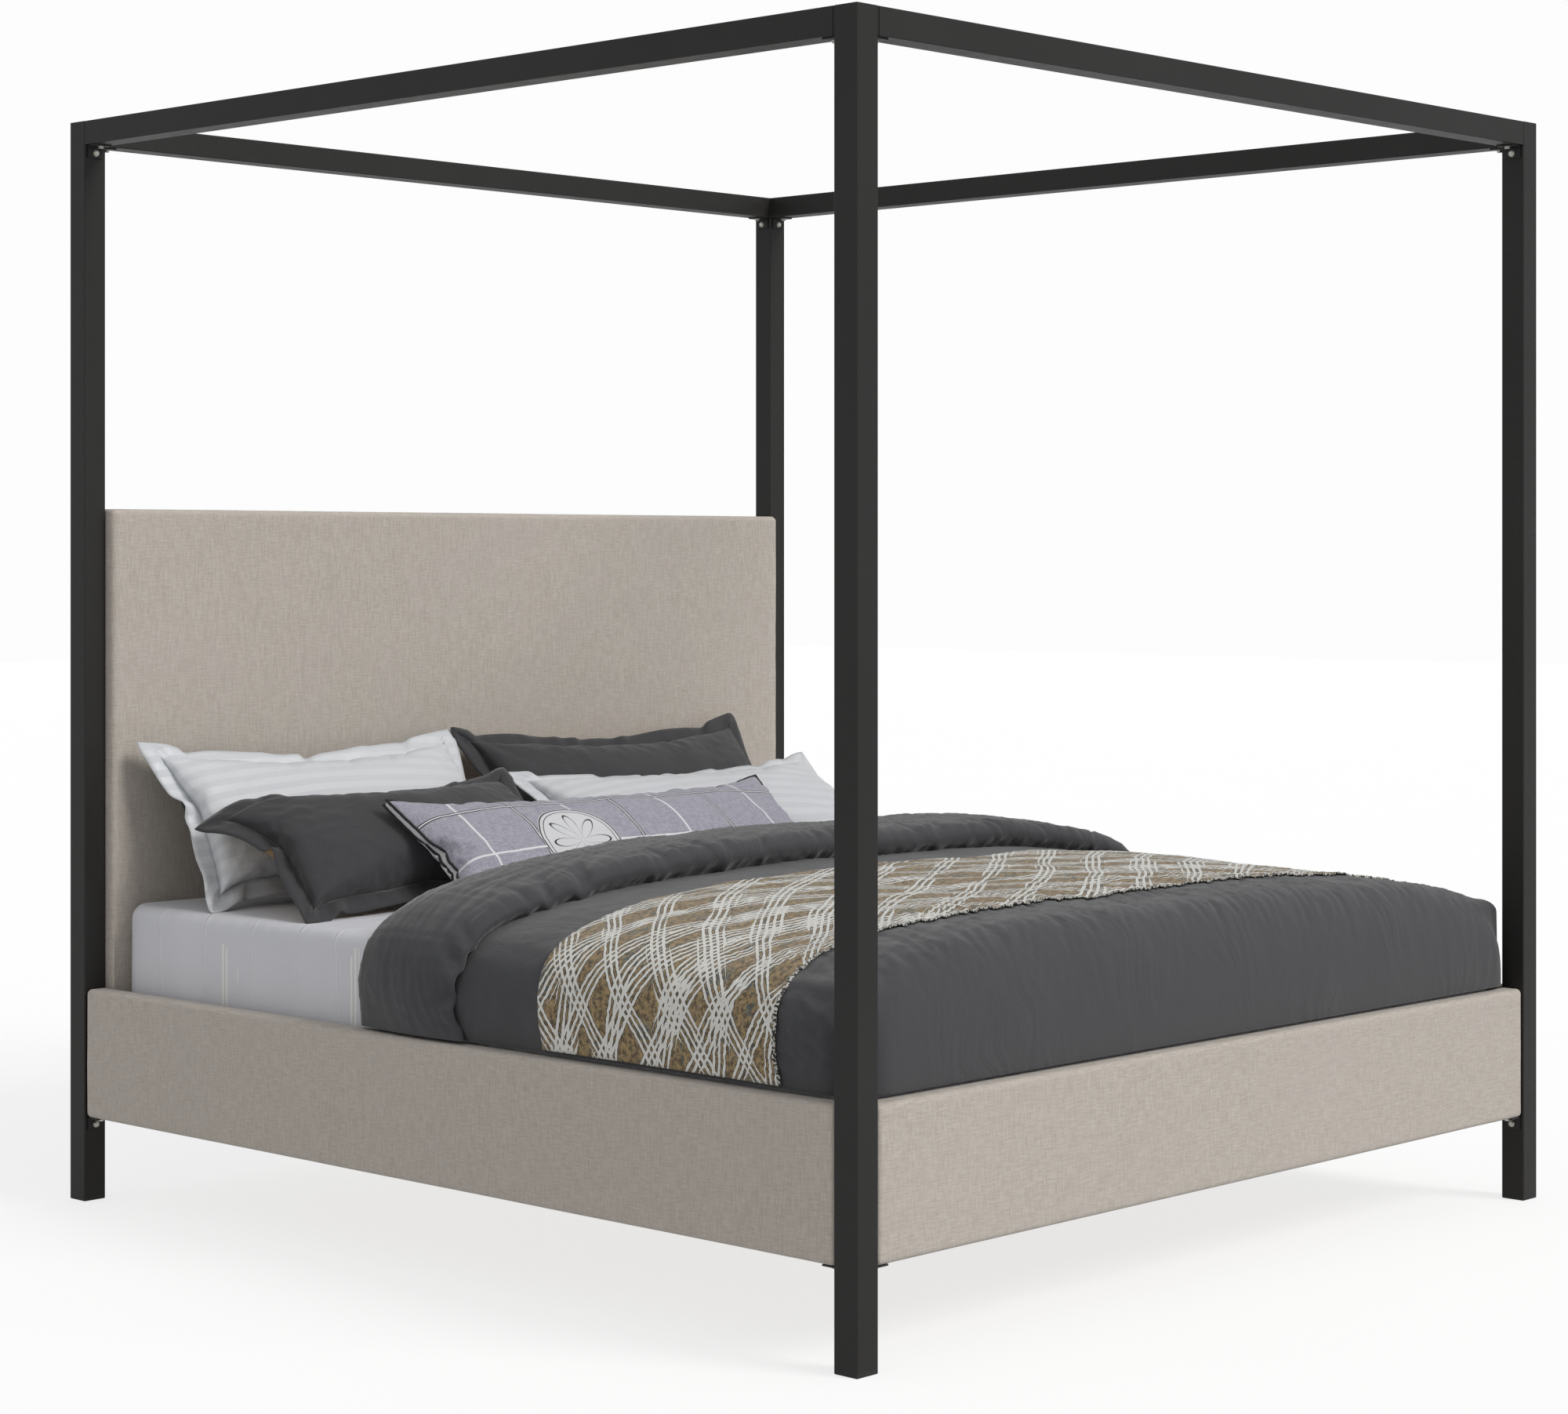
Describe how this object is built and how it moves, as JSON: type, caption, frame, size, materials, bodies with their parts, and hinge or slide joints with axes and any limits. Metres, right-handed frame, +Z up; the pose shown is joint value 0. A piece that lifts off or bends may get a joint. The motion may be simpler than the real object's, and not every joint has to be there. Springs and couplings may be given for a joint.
{
  "type": "four poster canopy bed",
  "caption": "Four poster canopy bed with square black steel posts and canopy rails, linen upholstered headboard and rails, slatted base, mattress and bedding.",
  "frame": {"origin": "on the floor at the middle of the footprint", "axes": "+Z up, +Y towards the headboard, +X towards the right-hand side seen from the foot"},
  "size_m": [2.0574, 2.159, 2.1844],
  "materials": {
    "powder_coated_steel": "satin black powder coat",
    "black_bracket_steel": "semi-matt black paint",
    "zinc_plated_steel": "bright zinc plate",
    "brass": "plain brass",
    "black_plastic": "matt moulded plastic",
    "linen_upholstery": "coarse linen-look plain weave",
    "foam": "polyurethane foam, hidden",
    "lining_cloth": "black non-woven dust cloth",
    "timber": "plain sawn pine and plywood",
    "webbing": "woven webbing",
    "mattress_ticking": "knitted ticking, hidden",
    "sheet_cotton": "smooth cotton percale",
    "duvet_cotton": "washed charcoal cotton",
    "runner_jacquard": "jacquard with off-white line pattern",
    "striped_sateen": "white sateen with satin stripes",
    "charcoal_cotton": "charcoal cotton",
    "check_cotton": "lavender-grey cotton check"
  },
  "bodies": {
    "root": {"beam_hangers": "black_bracket_steel", "canopy_bolts": "zinc_plated_steel", "canopy_brackets": "black_bracket_steel", "canopy_end_plates": "powder_coated_steel", "canopy_rail_foot": "powder_coated_steel", "canopy_rail_head": "powder_coated_steel", "canopy_rail_left": "powder_coated_steel", "canopy_rail_right": "powder_coated_steel", "centre_beam": "black_bracket_steel", "centre_leg_foot": "black_bracket_steel", "centre_leg_head": "black_bracket_steel", "centre_leg_middle": "black_bracket_steel", "duvet": "duvet_cotton", "fitted_sheet": "sheet_cotton", "foot_glides": "black_plastic", "foot_rail_core": "timber", "foot_rail_cover": "linen_upholstery", "foot_rail_foam": "foam", "foot_rail_lining": "lining_cloth", "frame_screws": "zinc_plated_steel", "head_cross_rail": "powder_coated_steel", "headboard_bolts": "zinc_plated_steel", "headboard_cover": "linen_upholstery", "headboard_cross_rails": "timber", "headboard_foam": "foam", "headboard_lining": "lining_cloth", "headboard_lower_cover": "linen_upholstery", "headboard_panel": "timber", "headboard_plates": "black_bracket_steel", "headboard_stiles": "timber", "ledge_left": "black_bracket_steel", "ledge_right": "black_bracket_steel", "leg_glides": "black_plastic", "mattress": "mattress_ticking", "pillow_back_left": "striped_sateen", "pillow_back_right": "charcoal_cotton", "pillow_check": "check_cotton", "pillow_front_left": "charcoal_cotton", "pillow_front_right": "striped_sateen", "post_caps": "powder_coated_steel", "post_foot_left": "powder_coated_steel", "post_foot_right": "powder_coated_steel", "post_head_left": "powder_coated_steel", "post_head_right": "powder_coated_steel", "rail_bolts": "zinc_plated_steel", "rail_brackets": "black_bracket_steel", "runner": "runner_jacquard", "side_rail_left_core": "timber", "side_rail_left_cover": "linen_upholstery", "side_rail_left_foam": "foam", "side_rail_left_lining": "lining_cloth", "side_rail_right_core": "timber", "side_rail_right_cover": "linen_upholstery", "side_rail_right_foam": "foam", "side_rail_right_lining": "lining_cloth", "slat_straps": "webbing", "slats": "timber", "threaded_inserts": "brass", "weld_nuts": "zinc_plated_steel"}
  },
  "joints": []
}
